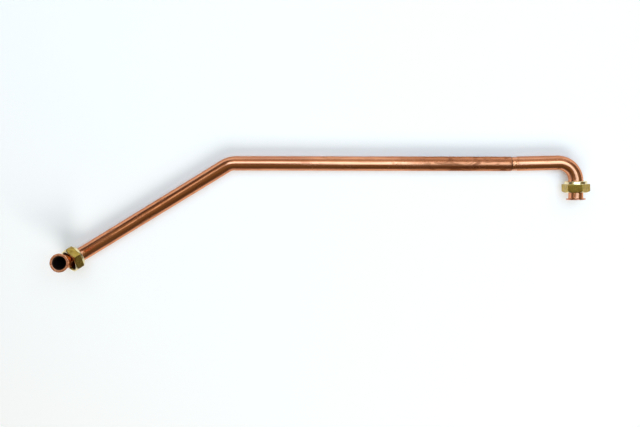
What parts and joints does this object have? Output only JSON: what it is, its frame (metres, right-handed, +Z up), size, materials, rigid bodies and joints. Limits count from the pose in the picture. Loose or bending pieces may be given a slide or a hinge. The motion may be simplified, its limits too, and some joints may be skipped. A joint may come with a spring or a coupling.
{
  "type": "copper connecting pipe with union nuts",
  "caption": "Rigid copper connecting pipe bent to fit between two appliance ports, with a rolled flange and a loose brass union nut at each end.",
  "frame": {"origin": "middle of the underside of the part's bounding box, on the surface that the pipe lies on", "axes": "+X along the long straight run towards the outlet elbow, +Z up from the surface the pipe lies on, with the inlet tail rising from it"},
  "size_m": [0.6783, 0.1558, 0.0614],
  "materials": {
    "main_copper": "drawn copper, lightly oxidised, heat-stained near the brazed joint",
    "elbow_copper": "drawn copper, clean satin",
    "braze": "copper-silver brazing filler, as cast",
    "inlet_brass": "turned hexagon brass, dull and slightly tarnished",
    "outlet_brass": "turned hexagon brass, dull and slightly tarnished"
  },
  "bodies": {
    "pipe": {"main_tube": "main_copper", "outlet_elbow": "elbow_copper", "braze_filler": "braze"},
    "inlet_nut": {"inlet_nut": "inlet_brass"},
    "outlet_nut": {"outlet_nut": "outlet_brass"}
  },
  "joints": [
    {"name": "inlet_nut_ride", "type": "hinge", "parent": "pipe", "child": "inlet_nut", "pos_m": [-0.30763, -0.04618, 0.03101], "axis": [-0.5071, 0.8115, -0.2904], "range_deg": [-12, 58]},
    {"name": "outlet_nut_slide", "type": "slide", "parent": "pipe", "child": "outlet_nut", "axis": [0.0285, -0.9618, 0.2723], "range_m": [0, 0.019]}
  ]
}
